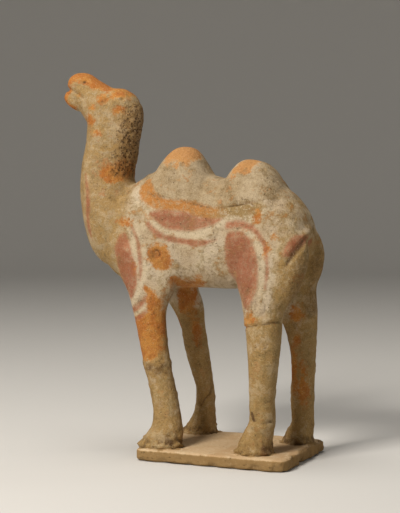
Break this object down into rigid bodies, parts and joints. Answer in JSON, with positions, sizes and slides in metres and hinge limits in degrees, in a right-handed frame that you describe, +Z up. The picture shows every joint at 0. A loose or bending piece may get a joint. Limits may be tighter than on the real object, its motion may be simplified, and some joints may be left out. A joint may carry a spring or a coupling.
{
  "type": "terracotta camel figure",
  "caption": "Painted terracotta figure of a standing two-humped camel with raised head, legs apart, on a thin rectangular slab of the same clay.",
  "frame": {"origin": "middle of the slab's flat underside", "axes": "+Z up; the camel looks along -X; its left side faces -Y"},
  "size_m": [0.2308, 0.106, 0.3227],
  "materials": {
    "painted_terracotta": "matt, worn cream slip with orange clay and faded red paint",
    "bare_terracotta": "matt, dusty beige clay, pitted at the edges"
  },
  "bodies": {
    "root": {"camel_figure": "painted_terracotta", "base_slab": "bare_terracotta"}
  },
  "joints": []
}
